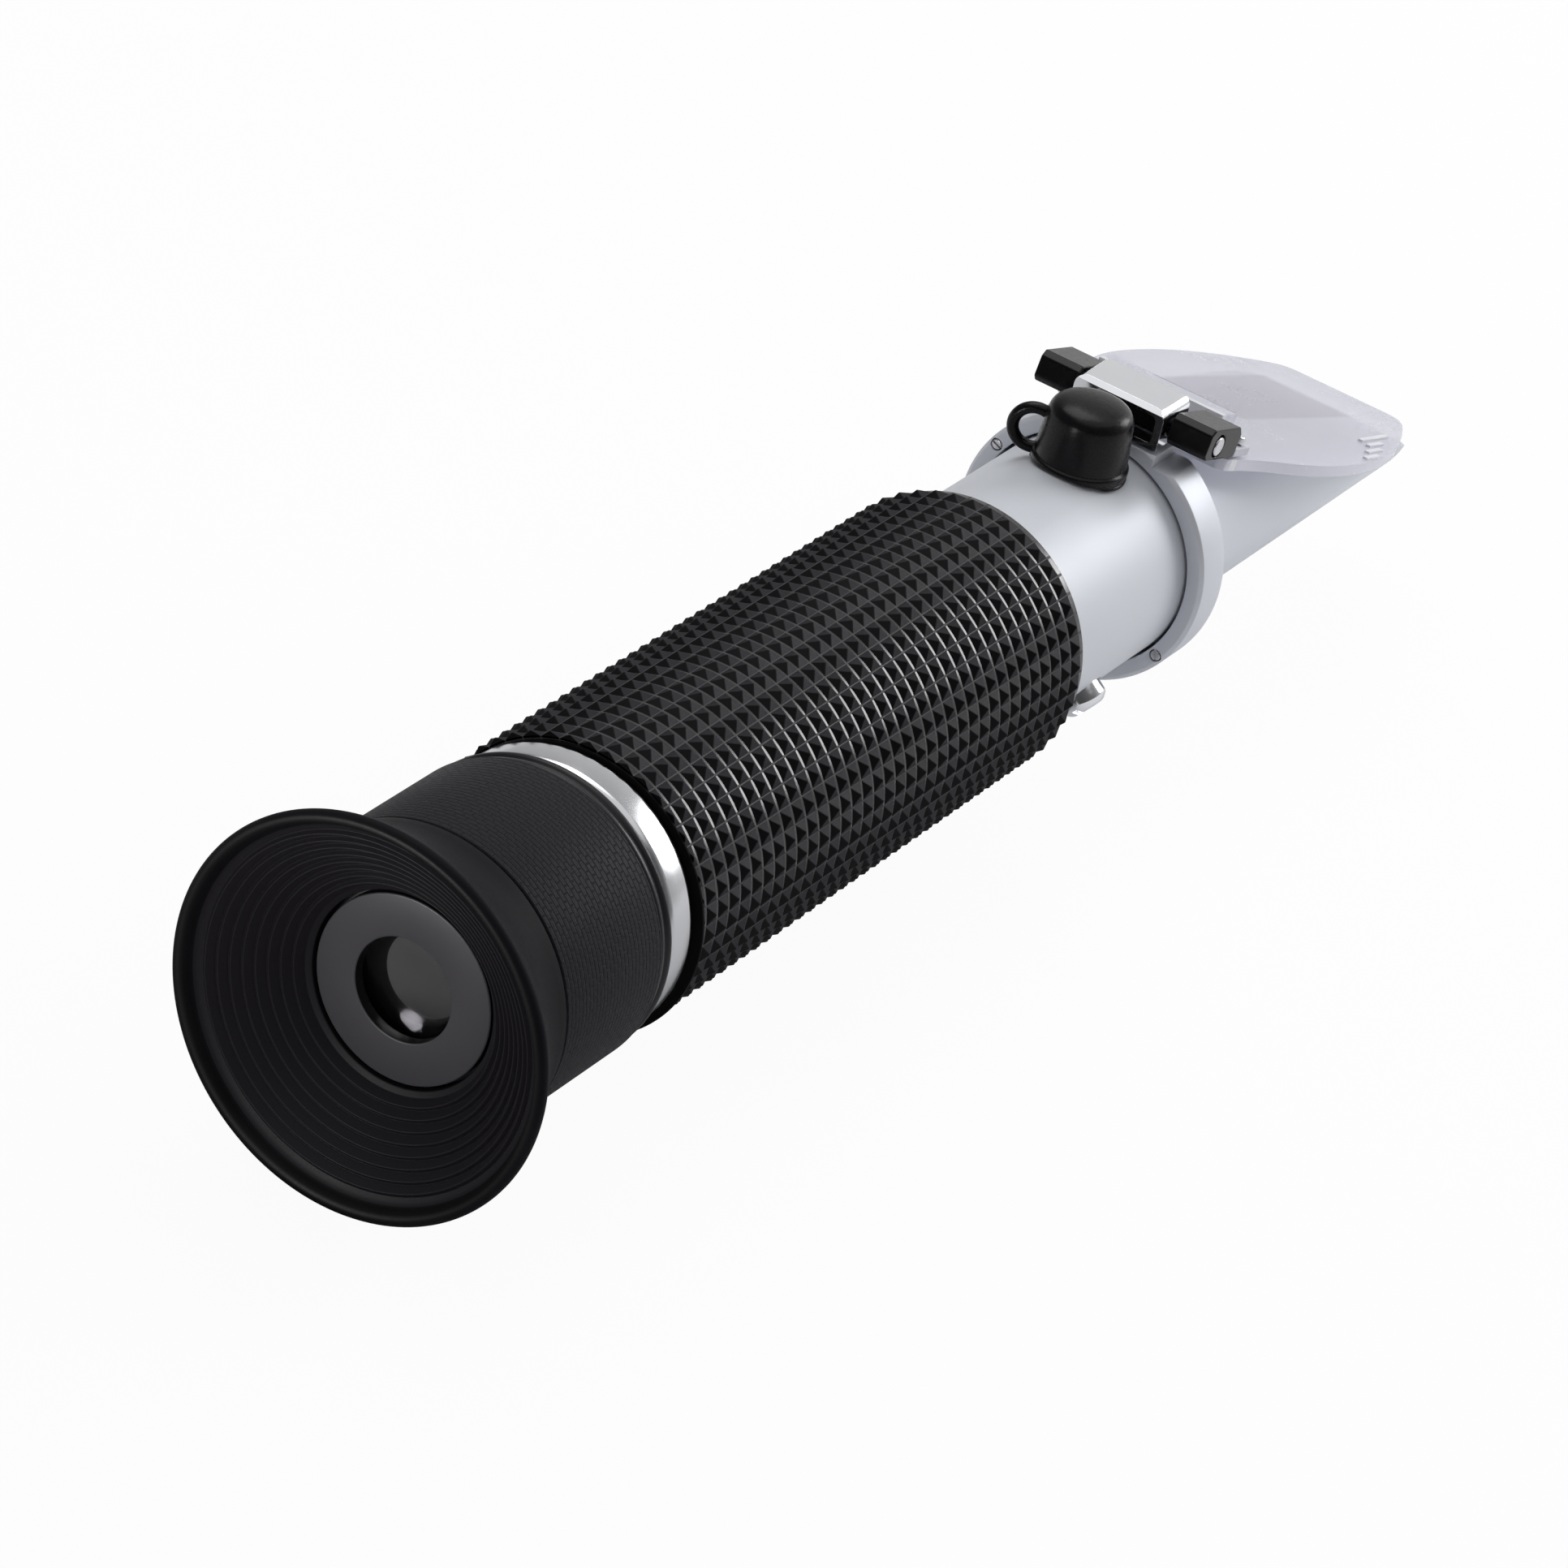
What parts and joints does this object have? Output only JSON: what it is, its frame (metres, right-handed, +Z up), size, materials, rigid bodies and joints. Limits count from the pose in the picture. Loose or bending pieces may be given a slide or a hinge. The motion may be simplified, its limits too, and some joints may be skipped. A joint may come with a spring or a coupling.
{
  "type": "alcohol refractometer",
  "caption": "Hand-held alcohol refractometer: ribbed eyecup on a turning focus sleeve, knurled grip, satin tube, capped zero screw, prism housing and hinged daylight plate.",
  "frame": {"origin": "middle of the bounding box, at the height of the eyecup's lowest point", "axes": "+Y along the optical axis from the eyepiece to the prism, +Z up through the calibration cap, +X to the right seen from the eyepiece"},
  "size_m": [0.0354, 0.1722, 0.0354],
  "materials": {
    "black_rubber": "matte moulded rubber",
    "black_plastic": "moulded, semi-gloss",
    "black_metal": "black anodised",
    "satin_silver": "satin, pearl chromed",
    "bright_chrome": "polished",
    "steel": "bright",
    "brass": "plain",
    "optical_glass": "polished",
    "frosted_plastic": "translucent, semi-gloss"
  },
  "bodies": {
    "barrel": {"main_tube": "satin_silver", "chrome_collar": "bright_chrome", "grip_sleeve": "black_rubber", "reticle_holder": "black_metal", "reticle_disc": "optical_glass", "reticle_lock_ring": "black_metal", "bimetal_block": "black_metal", "bimetal_strip": "brass", "bimetal_screw": "steel", "prism_housing": "satin_silver", "measuring_prism": "optical_glass", "prism_seal": "frosted_plastic", "flange_screw_1": "steel", "flange_screw_2": "steel", "hinge_bracket": "bright_chrome", "hinge_insert": "black_plastic", "hinge_pin": "steel", "side_plug": "bright_chrome", "calibration_bush": "steel"},
    "lens_carriage": {"lens_cell": "black_metal", "lens_retainer": "black_plastic", "eye_lens": "optical_glass", "lens_spacer": "black_metal", "field_lens": "optical_glass", "field_lens_ring": "black_metal"},
    "eyepiece": {"eyecup": "black_rubber", "focus_sleeve": "black_plastic", "sleeve_cover": "black_rubber"},
    "objective": {"objective_carrier": "black_metal", "objective_lens": "optical_glass", "objective_ring": "black_metal"},
    "plate_and_arms": {"daylight_plate": "frosted_plastic", "left_hinge_arm": "black_plastic", "right_hinge_arm": "black_plastic", "plate_screw_left": "steel", "plate_screw_right": "steel"},
    "zero_screw": {"calibration_screw": "brass"},
    "rubber_cap": {"calibration_cap": "black_rubber"}
  },
  "joints": [
    {"name": "focus_slide", "type": "slide", "parent": "barrel", "child": "lens_carriage", "axis": [0, -1, 0], "range_m": [0, 0.003]},
    {"name": "focus_turn", "type": "hinge", "parent": "lens_carriage", "child": "eyepiece", "pos_m": [0, -0.07616, 0.0177], "axis": [0, -1, 0], "range_deg": [0, 360]},
    {"name": "zero_screw_turn", "type": "hinge", "parent": "barrel", "child": "zero_screw", "pos_m": [0, 0.02695, 0.02705], "axis": [0, 0, 1], "range_deg": [-180, 180]},
    {"name": "objective_shift", "type": "slide", "parent": "barrel", "child": "objective", "axis": [0, 0, 1], "range_m": [-0.0003, 0.0003]},
    {"name": "cap_pull", "type": "slide", "parent": "barrel", "child": "rubber_cap", "axis": [0, 0, 1], "range_m": [0, 0.012]},
    {"name": "plate_open", "type": "hinge", "parent": "barrel", "child": "plate_and_arms", "pos_m": [0, 0.03565, 0.0314], "axis": [1, 0, 0], "range_deg": [0, 115]}
  ],
  "couplings": [
    {"joint": "focus_slide", "follows": "focus_turn", "m_per_rad": 0.000477},
    {"joint": "zero_screw_turn", "follows": "objective_shift", "rad_per_m": 10450}
  ]
}
